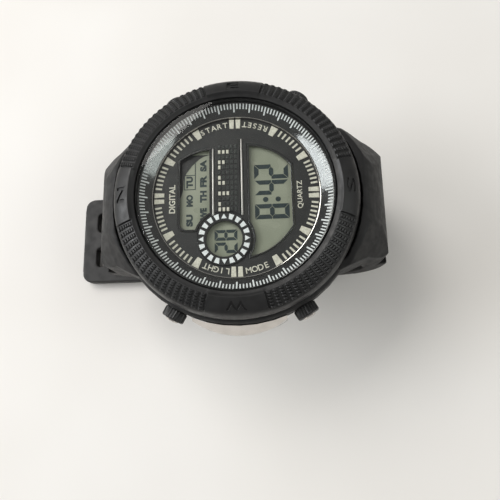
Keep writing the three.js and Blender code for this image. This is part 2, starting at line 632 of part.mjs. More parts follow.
function doubleProng() {
  const tube = crossBar(1.65, -6.1, 6.1, BUCKLE_Y, BUCKLE_Z, 24);
  const bottom = BUCKLE_Z - 1.65;
  const tongues = [1, -1].map((s) => {
    const x = s * SLOT.x;
    return box([x - 1.2, FRAME_FAR_Y - 0.2, bottom - 0.6], [x + 1.2, BUCKLE_Y, bottom + 0.35]);
  });
  const bore = crossBar(BUCKLE_BAR_R + 0.15, -20, 20, BUCKLE_Y, BUCKLE_Z);
  return joined([tube, ...tongues]).subtract(bore);
}

function keeper() {
  const [half, wall, reach] = [STRAP_HALF_WIDTH + 0.4, 1.3, 2.6];
  const [top, bottom] = [UPPER_LAYER_Z + STRAP_T + 0.3, UPPER_LAYER_Z - 2.6];
  const outside = box(
    [-half - wall, KEEPER_Y - reach, bottom - wall], [half + wall, KEEPER_Y + reach, top + wall]);
  return outside.subtract(box([-half, KEEPER_Y - 9, bottom], [half, KEEPER_Y + 9, top]));
}

// ---------- assembly ----------
const watch = new THREE.Group();

function place(name, solid, material) {
  const mesh = new THREE.Mesh(toGeometry(solid), material);
  mesh.name = name;
  watch.add(mesh);
}

place('case_body', caseBody(), resin);
place('side_plate_9', sidePlate(-1), steel);
place('side_plate_3', sidePlate(1), steel);
place('bezel_ring', bezelRing(), resin);
place('crystal', crystal(), glass);
place('crystal_gasket', crystalGasket(), rubber);
place('chapter_ring', chapterRing(), glossBlack);
place('dial_plate', dialPlate(), dialBlack);
place('time_window_frame', windowFrame(timeWindow), glossBlack);
place('day_window_frame', windowFrame(dayWindow), glossBlack);
place('subdial_ring', subdialRing(), glossBlack);
place('centre_panel', centrePanel(), dialBlack);
place('lcd_panel', lcdPanel(), lcd);
place('backlight_panel', backlightPanel(), whitePlastic);
place('contact_strip_upper', contactStrip(1), rubber);
place('contact_strip_lower', contactStrip(-1), rubber);
place('module_frame', moduleFrame(), whitePlastic);
place('circuit_board', circuitBoard(), boardGreen);
place('battery', battery(), steel);
place('battery_clip', batteryClip(), steel);
place('sounder_disc', sounderDisc(), brass);
place('sounder_spring', sounderSpring(), brass);
place('case_gasket', caseGasket(), rubber);
place('case_back', caseBack(), steel);
screwPlaces().forEach((spot, i) => place(`back_screw_${i + 1}`, backScrew(spot), steel));

for (const [name, clock] of Object.entries(BUTTONS)) {
  place(`button_${name}`, onButtonAxis(buttonBody(), clock), darkSteel);
  place(`button_${name}_spring`, onButtonAxis(buttonSpring(), clock), steel);
  place(`button_${name}_seal`, onButtonAxis(buttonSeal(), clock), rubber);
  place(`button_${name}_clip`, onButtonAxis(buttonClip(), clock), steel);
}

place('strap_6', strap6(), strapResin);
place('strap_12', strap12(), strapResin);
place('spring_bar_6', springBar(PIVOT_6_Y), steel);
place('spring_bar_12', springBar(PIVOT_12_Y), steel);
place('buckle_frame', buckleFrame(), darkSteel);
place('buckle_bar', buckleBar(), steel);
place('double_prong', doubleProng(), darkSteel);
place('keeper', keeper(), strapResin);

export default watch;
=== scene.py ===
# Digital sports wristwatch in black resin. Lengths below are in millimetres unless a name says otherwise,
# and every finished mesh is scaled to metres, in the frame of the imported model:
# +Z up through the dial, +Y towards 12 o'clock, +X towards 3 o'clock.
import json
import math

import bmesh
import bpy
from mathutils import Matrix, Vector

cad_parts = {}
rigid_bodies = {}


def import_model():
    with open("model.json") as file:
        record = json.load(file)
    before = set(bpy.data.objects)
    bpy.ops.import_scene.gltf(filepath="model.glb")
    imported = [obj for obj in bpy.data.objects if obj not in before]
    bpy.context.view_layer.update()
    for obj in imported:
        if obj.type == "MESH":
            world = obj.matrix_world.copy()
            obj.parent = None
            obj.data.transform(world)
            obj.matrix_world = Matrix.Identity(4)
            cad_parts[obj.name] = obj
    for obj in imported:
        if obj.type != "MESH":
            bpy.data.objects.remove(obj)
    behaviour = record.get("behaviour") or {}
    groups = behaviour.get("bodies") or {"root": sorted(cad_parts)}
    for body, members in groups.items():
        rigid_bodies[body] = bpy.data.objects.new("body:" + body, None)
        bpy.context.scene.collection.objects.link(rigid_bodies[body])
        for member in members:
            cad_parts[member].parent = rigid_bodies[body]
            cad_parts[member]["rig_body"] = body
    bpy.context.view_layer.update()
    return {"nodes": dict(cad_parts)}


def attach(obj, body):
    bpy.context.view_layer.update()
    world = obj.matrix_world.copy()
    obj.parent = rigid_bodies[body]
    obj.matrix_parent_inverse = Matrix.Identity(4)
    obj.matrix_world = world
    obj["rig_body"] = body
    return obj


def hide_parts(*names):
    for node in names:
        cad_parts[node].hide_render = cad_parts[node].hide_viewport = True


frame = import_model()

MM = 0.001

# ---------- levels and places that the CAD model has too ----------
DIAL_Z = 34.0
LCD_Z = 33.3
BUTTON_Z = DIAL_Z - 5.2
BUTTON_CLOCK = {"start": 60, "reset": 120, "mode": 240, "light": 300}
SUBDIAL = (-9.2, 2.5)
PRINT = 0.03  # thickness of a printed mark

# ---------- camera ----------
CAMERA_AT = Vector((-36.114, -9.131, 137.415))
CAMERA_LOOKS_AT = Vector((-11.685, -2.658, DIAL_Z))
CAMERA_UP = Vector((math.cos(math.radians(-1.27)), math.sin(math.radians(-1.27)), 0))
CAMERA_LENS = 38.016  # on a 36 mm sensor

# ---------- colours, linear ----------
RESIN = ((0.0072, 0.0073, 0.0076), (0.0108, 0.0108, 0.011))
STRAP_RESIN = ((0.0125, 0.0122, 0.012), (0.0175, 0.017, 0.0167))
DIAL_BLACK = ((0.008, 0.008, 0.0085), (0.015, 0.0148, 0.0145))
TILE_GREY = ((0.022, 0.025, 0.023), (0.034, 0.038, 0.035))
INK_CREAM = ((0.58, 0.55, 0.46), (0.74, 0.71, 0.61))
INK_WHITE = ((0.72, 0.74, 0.74), (0.88, 0.9, 0.9))
LCD_GREEN = ((0.25, 0.265, 0.2), (0.315, 0.325, 0.25))
LCD_INK = ((0.010, 0.020, 0.022), (0.018, 0.034, 0.037))
STEEL = ((0.57, 0.545, 0.515), (0.65, 0.62, 0.59))
DARK_STEEL = ((0.045, 0.045, 0.048), (0.085, 0.085, 0.09))
RUBBER = ((0.007, 0.007, 0.007), (0.015, 0.015, 0.015))
WHITE_PLASTIC = ((0.62, 0.61, 0.57), (0.75, 0.74, 0.70))
BOARD = ((0.008, 0.055, 0.022), (0.015, 0.095, 0.04))
BRASS = ((0.46, 0.30, 0.08), (0.62, 0.44, 0.15))


# ================= materials =================
class Shading:
    """One material under construction: its nodes, in object coordinates measured in metres."""

    def __init__(self, name):
        self.material = bpy.data.materials.new(name)
        self.material.use_nodes = True
        self.nodes = self.material.node_tree.nodes
        self.links = self.material.node_tree.links
        self.surface = self.nodes["Principled BSDF"]
        self.place = self.nodes.new("ShaderNodeTexCoord").outputs["Object"]

    def stretched(self, x, y, z):
        mapping = self.nodes.new("ShaderNodeMapping")
        mapping.inputs["Scale"].default_value = (x, y, z)
        self.links.new(self.place, mapping.inputs["Vector"])
        return mapping.outputs["Vector"]

    def noise(self, grain, detail=3.0, where=None):
        """Noise whose patches are about grain millimetres across."""
        node = self.nodes.new("ShaderNodeTexNoise")
        node.inputs["Scale"].default_value = 1 / (grain * MM)
        node.inputs["Detail"].default_value = detail
        self.links.new(where or self.place, node.inputs["Vector"])
        return node.outputs["Fac"]

    def spread(self, value, low, high, start=0.35, end=0.65):
        """value between start and end, mapped to the numbers low to high."""
        node = self.nodes.new("ShaderNodeMapRange")
        node.inputs["From Min"].default_value = start
        node.inputs["From Max"].default_value = end
        node.inputs["To Min"].default_value = low
        node.inputs["To Max"].default_value = high
        self.links.new(value, node.inputs["Value"])
        return node.outputs["Result"]

    def math(self, operation, first, second):
        node = self.nodes.new("ShaderNodeMath")
        node.operation = operation
        for socket, value in zip(node.inputs, (first, second)):
            if isinstance(value, bpy.types.NodeSocket):
                self.links.new(value, socket)
            else:
                socket.default_value = value
        return node.outputs["Value"]

    def mix(self, factor, first, second):
        """Colours first and second by factor; each is a colour or a socket."""
        node = self.nodes.new("ShaderNodeMix")
        node.data_type = "RGBA"
        self.links.new(factor, node.inputs[0])
        for socket, value in ((node.inputs[6], first), (node.inputs[7], second)):
            if isinstance(value, bpy.types.NodeSocket):
                self.links.new(value, socket)
            else:
                socket.default_value = (*value, 1)
        return node.outputs[2]

    def relief(self, height, depth, strength=1.0):
        """Bumps of about depth millimetres."""
        node = self.nodes.new("ShaderNodeBump")
        node.inputs["Strength"].default_value = strength
        node.inputs["Distance"].default_value = depth * MM
        self.links.new(height, node.inputs["Height"])
        self.links.new(node.outputs["Normal"], self.surface.inputs["Normal"])
        return node

    def rounded(self, bump, radius):
        """Softens the hard edges that the bump sits on."""
        bevel = self.nodes.new("ShaderNodeBevel")
        bevel.samples = 4
        bevel.inputs["Radius"].default_value = radius * MM
        self.links.new(bevel.outputs["Normal"], bump.inputs["Normal"])
        return bevel.outputs["Normal"]

    def edge_wear(self, rounded_normal):
        """1 on a hard edge, 0 on a flat face."""
        geometry = self.nodes.new("ShaderNodeNewGeometry")
        dot = self.nodes.new("ShaderNodeVectorMath")
        dot.operation = "DOT_PRODUCT"
        self.links.new(geometry.outputs["Normal"], dot.inputs[0])
        self.links.new(rounded_normal, dot.inputs[1])
        return self.spread(dot.outputs["Value"], 1.0, 0.0, 0.86, 0.995)


def moulded(name, colours, roughness=(0.42, 0.6), grain=0.14, depth=0.012, wear=0.0, edge=0.0, specular=0.5):
    """Moulded resin or rubber: spark-eroded grain, faint flow mottling, and paler rubbed edges."""
    shade = Shading(name)
    flow = shade.spread(shade.noise(4.0, 2.0), 0, 1)
    colour = shade.mix(flow, *colours)
    fine = shade.noise(grain, 3.0)
    bump = shade.relief(fine, depth)
    if edge:
        rubbed = shade.edge_wear(shade.rounded(bump, edge))
        patchy = shade.math("MULTIPLY", rubbed, shade.spread(shade.noise(0.8, 3.0), 0.2, 1))
        worn = tuple(min(1, value * 2.6 + 0.012) for value in colours[1])
        colour = shade.mix(shade.math("MULTIPLY", patchy, wear), colour, worn)
    shade.links.new(colour, shade.surface.inputs["Base Color"])
    shade.links.new(shade.spread(shade.noise(1.6, 4.0), *roughness), shade.surface.inputs["Roughness"])
    shade.surface.inputs["Specular IOR Level"].default_value = specular
    return shade.material


def brushed(name, colours, along, roughness=(0.16, 0.34), grain=0.06, depth=0.002):
    """Metal with straight polishing lines along one axis."""
    shade = Shading(name)
    lines = shade.noise(grain, 4.0, shade.stretched(*[0.03 if axis == along else 1 for axis in "XYZ"]))
    shade.links.new(shade.mix(shade.spread(lines, 0, 1), *colours), shade.surface.inputs["Base Color"])
    smears = shade.math("MULTIPLY", shade.noise(3.0, 3.0), lines)
    shade.links.new(shade.spread(smears, *roughness, 0.12, 0.42), shade.surface.inputs["Roughness"])
    shade.relief(lines, depth)
    shade.surface.inputs["Metallic"].default_value = 1
    return shade.material


def turned_metal(name, colours, roughness=(0.14, 0.3), pitch=0.09):
    """Metal faced on a lathe: fine rings round the Z axis."""
    shade = Shading(name)
    split = shade.nodes.new("ShaderNodeSeparateXYZ")
    shade.links.new(shade.place, split.inputs["Vector"])
    squares = [shade.math("POWER", split.outputs[axis], 2) for axis in "XY"]
    radius = shade.math("SQRT", shade.math("ADD", *squares), 0)
    rings = shade.math("SINE", shade.math("MULTIPLY", radius, 2 * math.pi / (pitch * MM)), 0)
    grain = shade.math("ADD", shade.math("MULTIPLY", rings, 0.12), shade.noise(0.5, 4.0))
    shade.links.new(shade.mix(shade.spread(grain, 0, 1), *colours), shade.surface.inputs["Base Color"])
    shade.links.new(shade.spread(grain, *roughness), shade.surface.inputs["Roughness"])
    shade.relief(grain, 0.002)
    shade.surface.inputs["Metallic"].default_value = 1
    return shade.material


def polished(name, colours, roughness=(0.09, 0.17)):
    """Bright metal with hairline scratches and slight clouding."""
    shade = Shading(name)
    clouds = shade.noise(2.2, 4.0)
    hairs = shade.noise(0.05, 3.0, shade.stretched(0.06, 1, 0.4))
    shade.links.new(shade.mix(shade.spread(clouds, 0, 1), *colours), shade.surface.inputs["Base Color"])
    shade.links.new(shade.spread(clouds, *roughness), shade.surface.inputs["Roughness"])
    shade.relief(hairs, 0.00015)
    shade.surface.inputs["Metallic"].default_value = 1
    return shade.material


def lacquer(name, colours, roughness=(0.1, 0.14)):
    """Deep glossy black with faint cloudy haze and soft flow marks."""
    shade = Shading(name)
    haze = shade.noise(1.8, 3.0)
    shade.links.new(shade.mix(shade.spread(haze, 0, 1), *colours), shade.surface.inputs["Base Color"])
    shade.links.new(shade.spread(haze, *roughness), shade.surface.inputs["Roughness"])
    shade.relief(shade.noise(2.6, 1.0), 0.004)
    shade.surface.inputs["IOR"].default_value = 1.9
    return shade.material


def ink(name, colours, roughness=(0.35, 0.55)):
    """Screen-printed ink: slightly uneven cover and a pebbled surface."""
    shade = Shading(name)
    cover = shade.noise(0.35, 4.0)
    shade.links.new(shade.mix(shade.spread(cover, 0, 1), *colours), shade.surface.inputs["Base Color"])
    shade.links.new(shade.spread(shade.noise(0.7, 2.0), *roughness), shade.surface.inputs["Roughness"])
    shade.relief(cover, 0.006)
    return shade.material


def lcd_cell():
    """Reflective display cell: grey-green with soft clouds and a pearly speckle."""
    shade = Shading("lcd_cell")
    speckle = shade.noise(0.06, 2.0)
    clouds = shade.noise(7.0, 2.0)
    tone = shade.math("ADD", shade.math("MULTIPLY", speckle, 0.35), shade.math("MULTIPLY", clouds, 0.65))
    shade.links.new(shade.mix(shade.spread(tone, 0, 1), *LCD_GREEN), shade.surface.inputs["Base Color"])
    shade.links.new(shade.spread(clouds, 0.22, 0.34), shade.surface.inputs["Roughness"])
    shade.relief(speckle, 0.002)
    shade.surface.inputs["Coat Weight"].default_value = 0.25
    return shade.material


def crystal_glass():
    """Mineral glass: see-through, with a mirror share that grows at a slant and a few smears."""
    shade = Shading("crystal_glass")
    shade.nodes.remove(shade.surface)
    clear = shade.nodes.new("ShaderNodeBsdfTransparent")
    clear.inputs["Color"].default_value = (0.965, 0.975, 0.97, 1)
    mirror = shade.nodes.new("ShaderNodeBsdfGlossy")
    shade.links.new(shade.spread(shade.noise(3.0, 4.0), 0.01, 0.04), mirror.inputs["Roughness"])
    slant = shade.nodes.new("ShaderNodeLayerWeight")
    slant.inputs["Blend"].default_value = 0.5
    share = shade.math("MULTIPLY", shade.math("POWER", slant.outputs["Facing"], 5), 0.8)
    share = shade.math("ADD", share, 0.02)
    mixed = shade.nodes.new("ShaderNodeMixShader")
    shade.links.new(share, mixed.inputs["Fac"])
    shade.links.new(clear.outputs["BSDF"], mixed.inputs[1])
    shade.links.new(mirror.outputs["BSDF"], mixed.inputs[2])
    shade.links.new(mixed.outputs["Shader"], shade.nodes["Material Output"].inputs["Surface"])
    return shade.material


def circuit_board():
    """Green solder mask over copper tracks, which show as a fine raised net."""
    shade = Shading("circuit_board")
    tracks = shade.nodes.new("ShaderNodeTexBrick")
    tracks.inputs["Scale"].default_value = 420
    tracks.inputs["Mortar Size"].default_value = 0.035
    shade.links.new(shade.place, tracks.inputs["Vector"])
    shade.links.new(shade.mix(tracks.outputs["Fac"], BOARD[0], BOARD[1]), shade.surface.inputs["Base Color"])
    shade.links.new(shade.spread(shade.noise(1.5), 0.3, 0.5), shade.surface.inputs["Roughness"])
    shade.relief(tracks.outputs["Fac"], 0.03)
    return shade.material


MATERIALS = {
    "case_resin": moulded("case_resin", RESIN, (0.5, 0.66), wear=0.5, edge=0.22, specular=0.4),
    "bezel_resin": moulded("bezel_resin", RESIN, (0.36, 0.52), grain=0.11, wear=0.7, edge=0.12, specular=0.45),
    "strap_resin": moulded(
        "strap_resin", STRAP_RESIN, (0.48, 0.66), grain=0.2, depth=0.016, wear=0.35, edge=0.25
    ),
    "gloss_black": lacquer("gloss_black", RUBBER),
    "dial_black": moulded("dial_black", DIAL_BLACK, (0.4, 0.55), grain=0.07, depth=0.006),
    "tile_grey": moulded("tile_grey", TILE_GREY, (0.3, 0.42), grain=0.08, depth=0.004),
    "polished_steel": polished("polished_steel", STEEL),
    "satin_silver": brushed("satin_silver", STEEL, "X", (0.3, 0.45)),
    "brushed_steel": brushed("brushed_steel", STEEL, "X"),
    "turned_steel": turned_metal("turned_steel", STEEL),
    "pusher_black": moulded("pusher_black", RESIN, (0.3, 0.45), grain=0.1, wear=0.5, edge=0.1),
    "dark_steel": brushed("dark_steel", DARK_STEEL, "X", (0.22, 0.4)),
    "crystal_glass": crystal_glass(),
    "lcd_grey": lcd_cell(),
    "lcd_ink": ink("lcd_ink", LCD_INK, (0.3, 0.45)),
    "cream_ink": ink("cream_ink", INK_CREAM),
    "white_ink": ink("white_ink", INK_WHITE),
    "white_plastic": moulded("white_plastic", WHITE_PLASTIC, (0.4, 0.5), grain=0.3),
    "board_green": circuit_board(),
    "black_rubber": moulded("black_rubber", RUBBER, (0.65, 0.85), grain=0.1, depth=0.02),
    "brass": turned_metal("brass", BRASS, (0.2, 0.38)),
}


# ================= mesh helpers =================
LARGEST_SMOOTH_FACE = 4  # a face with more corners is a flat facing, and is shaded flat


def turn(degrees, axis="Z"):
    return Matrix.Rotation(math.radians(degrees), 4, axis)


def shift(x, y, z):
    return Matrix.Translation((x, y, z))


def polar(radius, degrees):
    angle = math.radians(degrees)
    return radius * math.cos(angle), radius * math.sin(angle)


def clock(degrees):
    """The turn about Z, from +X, of a clock angle counted clockwise from 12."""
    return 90 - degrees


def as_piece(name, build, material, body, replaces=(), sharp=35):
    """Turns a bmesh in millimetres into a named piece that rides on a body."""
    bmesh.ops.recalc_face_normals(build, faces=build.faces)
    bmesh.ops.scale(build, vec=(MM, MM, MM), verts=build.verts)
    mesh = bpy.data.meshes.new(name)
    build.to_mesh(mesh)
    build.free()
    mesh.shade_smooth()
    mesh.set_sharp_from_angle(angle=math.radians(sharp))
    for face in mesh.polygons:
        face.use_smooth = len(face.vertices) <= LARGEST_SMOOTH_FACE
    piece = bpy.data.objects.new(name, mesh)
    bpy.context.scene.collection.objects.link(piece)
    for each in material if isinstance(material, (list, tuple)) else [material]:
        mesh.materials.append(MATERIALS[each])
    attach(piece, body)
    if replaces:
        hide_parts(*replaces)
    return piece


def add_loops(build, loops, caps=True):
    """Skins a list of equally long closed loops; joins the last to the first when caps is False."""
    rows = [[build.verts.new(point) for point in loop] for loop in loops]
    pairs = list(zip(rows, rows[1:]))
    if not caps:
        pairs.append((rows[-1], rows[0]))
    count = len(rows[0])
    for low, high in pairs:
        for i in range(count):
            j = (i + 1) % count
            build.faces.new((low[i], low[j], high[j], high[i]))
    if caps:
        build.faces.new(rows[0][::-1])
        build.faces.new(rows[-1])


def add_prism(build, outline, low, high, chamfer=0.0, place=Matrix()):
    """A straight prism on an outline, with its upper edge cut back by chamfer."""
    middle = sum((Vector(point) for point in outline), Vector((0, 0))) / len(outline)

    def loop(height, inset):
        points = []
        for point in outline:
            away = Vector(point) - middle
            points.append(place @ Vector((*(middle + away * (1 - inset / away.length)), height)))
        return points

    loops = [loop(low, 0), loop(high - chamfer, 0)]
    if chamfer:
        loops.append(loop(high, chamfer))
    add_loops(build, loops)


def rectangle(width, length, x=0.0, y=0.0):
    return [(x + sx * width / 2, y + sy * length / 2) for sx, sy in ((-1, -1), (1, -1), (1, 1), (-1, 1))]


def rounded_rectangle(width, length, radius, steps=4):
    points = []
    for corner, (sx, sy) in enumerate(((1, 1), (-1, 1), (-1, -1), (1, -1))):
        for step in range(steps + 1):
            x, y = polar(radius, corner * 90 + 90 * step / steps)
            points.append((sx * (width / 2 - radius) + x, sy * (length / 2 - radius) + y))
    return points


def disc_outline(radius, x=0.0, y=0.0, sides=48):
    spokes = [polar(radius, 360 * i / sides) for i in range(sides)]
    return [(x + across, y + up) for across, up in spokes]


def add_turning(build, profile, sides=256):
    """A closed profile of (radius, height), turned about Z."""
    loops = [[(*polar(r, 360 * i / sides), z) for r, z in profile] for i in range(sides)]
    add_loops(build, loops, caps=False)


def letters(text, height, thickness, bold=0.02, width=None):
    """Lettering as a flat solid centred on the origin, its capitals height tall."""
    curve = bpy.data.curves.new("letters", "FONT")
    curve.body = text
    curve.extrude = 0.5
    curve.offset = bold
    curve.resolution_u = 4
    holder = bpy.data.objects.new("letters", curve)
    bpy.context.scene.collection.objects.link(holder)
    drawn = holder.evaluated_get(bpy.context.evaluated_depsgraph_get())
    mesh = bpy.data.meshes.new_from_object(drawn)
    bpy.data.objects.remove(holder)
    build = bmesh.new()
    build.from_mesh(mesh)
    bpy.data.meshes.remove(mesh)
    bmesh.ops.remove_doubles(build, verts=build.verts, dist=1e-5)
    low = Vector([min(v.co[axis] for v in build.verts) for axis in range(3)])
    high = Vector([max(v.co[axis] for v in build.verts) for axis in range(3)])
    size = high - low
    scale_y = height / size.y
    scale_x = width / size.x if width else scale_y
    centre = (low + high) / 2
    for vert in build.verts:
        away = vert.co - centre
        vert.co = Vector((away.x * scale_x, away.y * scale_y, away.z / size.z * thickness))
    return build


def add_letters(build, text, height, place, thickness=PRINT, bold=0.02, width=None):
    drawn = letters(text, height, thickness, bold, width)
    bmesh.ops.transform(drawn, matrix=place, verts=drawn.verts)
    mesh = bpy.data.meshes.new("letters")
    drawn.to_mesh(mesh)
    drawn.free()
    build.from_mesh(mesh)
    bpy.data.meshes.remove(mesh)


def cad_mesh(node):
    """A CAD node's own mesh in millimetres, its split corners joined and its flat faces made whole."""
    build = bmesh.new()
    build.from_mesh(frame["nodes"][node].data)
    bmesh.ops.scale(build, vec=(1000, 1000, 1000), verts=build.verts)
    bmesh.ops.remove_doubles(build, verts=build.verts, dist=0.002)
    bmesh.ops.dissolve_limit(build, angle_limit=math.radians(0.6), verts=build.verts, edges=build.edges)
    return build


def refined(node, name, material, width=0.15, segments=2, angle=32):
    """A CAD node with its edges rounded over."""
    build = cad_mesh(node)
    edges = [e for e in build.edges if len(e.link_faces) == 2 and e.calc_face_angle() > math.radians(angle)]
    bmesh.ops.bevel(
        build, geom=edges, offset=width, segments=segments, profile=0.5, affect="EDGES", clamp_overlap=True
    )
    body = frame["nodes"][node]["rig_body"]
    return as_piece(name, build, material, body, [node], sharp=40)


# ================= bezel =================
BLOCK_HALF = 14.5
BLOCK_WALL = 0.5  # degrees that a block's end wall takes
LETTER_AT = (23.3, 37.48)  # radius and height of the middle of a compass letter
LETTER_SLOPE = 29  # degrees by which a block's face falls outward there
RIDGES = 18  # in one knurled zone
STUDS = 6  # on one ridge
STUD_RISE = 0.36
# Radius and height up the outside and down the inside: first in a knurled zone, then on a smooth block.
BEZEL_PROFILE = (
    ((22.5, 32.6), (22.5, 32.6)),
    ((25.35, 32.6), (25.35, 32.6)),
    ((25.5, 32.72), (25.5, 32.72)),
    ((25.6, 33.6), (25.6, 33.6)),
    ((25.45, 34.6), (25.45, 34.6)),
    ((25.3, 35.2), (25.3, 35.2)),
    ((25.14, 35.7), (25.16, 35.85)),
    ((24.95, 36.0), (24.95, 36.3)),
    ((24.7, 36.2), (24.66, 36.65)),
    ((24.1, 36.57), (24.2, 37.0)),
    ((23.4, 36.98), (23.5, 37.4)),
    ((22.6, 37.36), (22.7, 37.76)),
    ((22.2, 37.48), (22.3, 37.9)),
    ((21.9, 37.58), (21.95, 38.04)),
    ((21.7, 37.7), (21.72, 38.08)),
    ((21.5, 37.78), (21.55, 38.0)),
    ((21.3, 37.72), (21.35, 37.82)),
    ((21.0, 37.58), (21.0, 37.62)),
    ((20.7, 37.54), (20.7, 37.56)),
    ((20.56, 37.5), (20.56, 37.5)),
    ((20.5, 37.4), (20.5, 37.4)),
    ((20.5, 37.2), (20.5, 37.2)),
    ((22.5, 37.2), (22.5, 37.2)),
)
GRIP_PATH = (Vector((21.6, 37.66)), Vector((22.95, 37.22)), Vector((24.85, 36.1)))


def on_grip(share):
    """Radius, height and slope in degrees at a share of the way down a ridge."""
    start, bend, end = GRIP_PATH
    point = start.lerp(bend, share).lerp(bend.lerp(end, share), share)
    along = bend.lerp(end, share) - start.lerp(bend, share)
    return point.x, point.y, math.degrees(math.atan2(-along.y, along.x))


def block_share(degrees):
    """0 in a knurled zone, 1 on a block, with a steep wall between."""
    from_block = abs((degrees + 45) % 90 - 45)
    return min(1, max(0, (BLOCK_HALF + BLOCK_WALL - from_block) / BLOCK_WALL))


def bezel_angles():
    """Every 1.25 degrees, and both ends of each block's wall."""
    angles = {1.25 * i for i in range(288)}
    for middle in (0, 90, 180, 270):
        for side in (-1, 1):
            for edge in (BLOCK_HALF, BLOCK_HALF + BLOCK_WALL):
                angles.add((middle + side * edge) % 360)
    return sorted(angles)


def bezel_mesh():
    build = bmesh.new()
    loops = []
    for degrees in bezel_angles():
        share = block_share(degrees)
        points = [Vector(low).lerp(Vector(high), share) for low, high in BEZEL_PROFILE]
        loops.append([(*polar(r, degrees), z) for r, z in points])
    add_loops(build, loops, caps=False)
    return build


def compass_letters():
    """Cutters for N, E, S and W, which sink into the sloping faces of the blocks."""
    build = bmesh.new()
    for text, degrees, wide in (("N", 0, 3.3), ("E", 90, 2.6), ("S", 180, 3.0), ("W", 270, 4.2)):
        lean = turn(clock(degrees) - 90) @ shift(0, *LETTER_AT) @ turn(-LETTER_SLOPE, "X")
        add_letters(build, text, 2.0, lean, thickness=0.56, bold=0.02, width=wide)
    return build


def cut(build, cutter):
    """build without cutter, both in millimetres."""
    holders = []
    for name, source in (("cut_from", build), ("cut_by", cutter)):
        bmesh.ops.recalc_face_normals(source, faces=source.faces)
        mesh = bpy.data.meshes.new(name)
        source.to_mesh(mesh)
        source.free()
        holder = bpy.data.objects.new(name, mesh)
        bpy.context.scene.collection.objects.link(holder)
        holders.append(holder)
    modifier = holders[0].modifiers.new("cut", "BOOLEAN")
    modifier.operation = "DIFFERENCE"
    modifier.solver = "EXACT"
    modifier.object = holders[1]
    drawn = holders[0].evaluated_get(bpy.context.evaluated_depsgraph_get())
    mesh = bpy.data.meshes.new_from_object(drawn)
    result = bmesh.new()
    result.from_mesh(mesh)
    for holder in holders:
        bpy.data.objects.remove(holder)
    return result


def add_studs(build):
    """Rows of small pillows on every ridge of the four grip zones."""
    length = (GRIP_PATH[2] - GRIP_PATH[0]).length / STUDS
    zone = 90 - 2 * (BLOCK_HALF + BLOCK_WALL)
    for quarter in range(4):
        for ridge in range(RIDGES):
            degrees = quarter * 90 + BLOCK_HALF + BLOCK_WALL + zone * (ridge + 0.5) / RIDGES
            for stud in range(STUDS):
                radius, height, slope = on_grip((stud + 0.5) / STUDS)
                width = 0.7 * radius * math.radians(zone / RIDGES)
                place = turn(degrees) @ shift(radius, 0, height) @ turn(slope, "Y")
                outline = rounded_rectangle(length * 0.86, width, 0.13, 1)
                add_prism(build, outline, -0.12, STUD_RISE, 0.2, place)


def bezel():
    build = cut(bezel_mesh(), compass_letters())
    add_studs(build)
    as_piece("bezel_grip_ring", build, "bezel_resin", "bezel", ["bezel_ring"], sharp=28)


# ================= dial =================
def add_cone_mark(build, degrees, inner, outer, width):
    """A thin mark lying on the sloping face of the chapter ring."""
    rise = 1.5 / 2.4
    slope = math.degrees(math.atan(rise))
    middle = (inner + outer) / 2
    height = DIAL_Z + 0.6 + (middle - 17.5) * rise
    place = turn(clock(degrees)) @ shift(middle, 0, height) @ turn(-slope, "Y")
    length = (outer - inner) / math.cos(math.radians(slope))
    add_prism(build, rectangle(length, width), -0.02, PRINT, 0, place)


def chapter_ring():
    profile = (
        (17.52, 34.12), (20.2, 34.12), (20.2, 36.1), (19.95, 36.1), (19.86, 36.06),
        (18.6, 35.28), (17.62, 34.68), (17.52, 34.6), (17.46, 34.45),
    )
    build = bmesh.new()
    add_turning(build, profile, 256)
    as_piece("chapter_ring_face", build, "gloss_black", "case", ["chapter_ring"])
    ticks = bmesh.new()
    for step in range(180):
        inner = 18.3 if step % 5 == 0 else 18.85
        add_cone_mark(ticks, 2 * step, inner, 19.8, 0.3 if step % 5 == 0 else 0.26)
    as_piece("chapter_ticks", ticks, "white_ink", "case")
    edge = bmesh.new()
    lip = [(17.44, 34.03), (17.5, 34.03), (17.5, 34.62), (17.44, 34.68), (17.3, 34.62), (17.28, 34.03)]
    add_turning(edge, lip, 256)
    as_piece("chapter_ring_inner_lip", edge, "polished_steel", "case")


def add_marker(build, degrees, inner, outer, inner_width, outer_width, height=0.14, offset=0.0):
    """A raised block on the dial, pointing at the centre; offset moves it sideways."""
    outline = [
        (inner, offset - inner_width / 2), (outer, offset - outer_width / 2),
        (outer, offset + outer_width / 2), (inner, offset + inner_width / 2),
    ]
    add_prism(build, outline, DIAL_Z - 0.02, DIAL_Z + height, height / 3, turn(clock(degrees)))


def hour_markers():
    build = bmesh.new()
    for hour in range(12):
        if hour % 3 == 0:
            for side in (-1, 1):
                add_marker(build, hour * 30, 15.0, 17.1, 0.86, 1.06, offset=side * 0.68)
        else:
            add_marker(build, hour * 30, 15.0, 17.1, 1.05, 1.6)
    as_piece("hour_markers", build, "cream_ink", "case")


def minute_strokes():
    """Short strokes between the hours, left out where the button labels stand."""
    build = bmesh.new()
    for hour in (0, 1, 4, 5, 6, 7, 10, 11):
        beside_double = hour % 3 == 0
        before_double = (hour + 1) % 3 == 0
        start, end = 7.5 if beside_double else 5.8, 22.5 if before_double else 24.2
        count = 6
        for i in range(count):
            degrees = hour * 30 + start + (end - start) * i / (count - 1)
            add_marker(build, degrees, 15.65, 17.05, 0.38, 0.42, height=0.07)
    as_piece("minute_strokes", build, "cream_ink", "case")


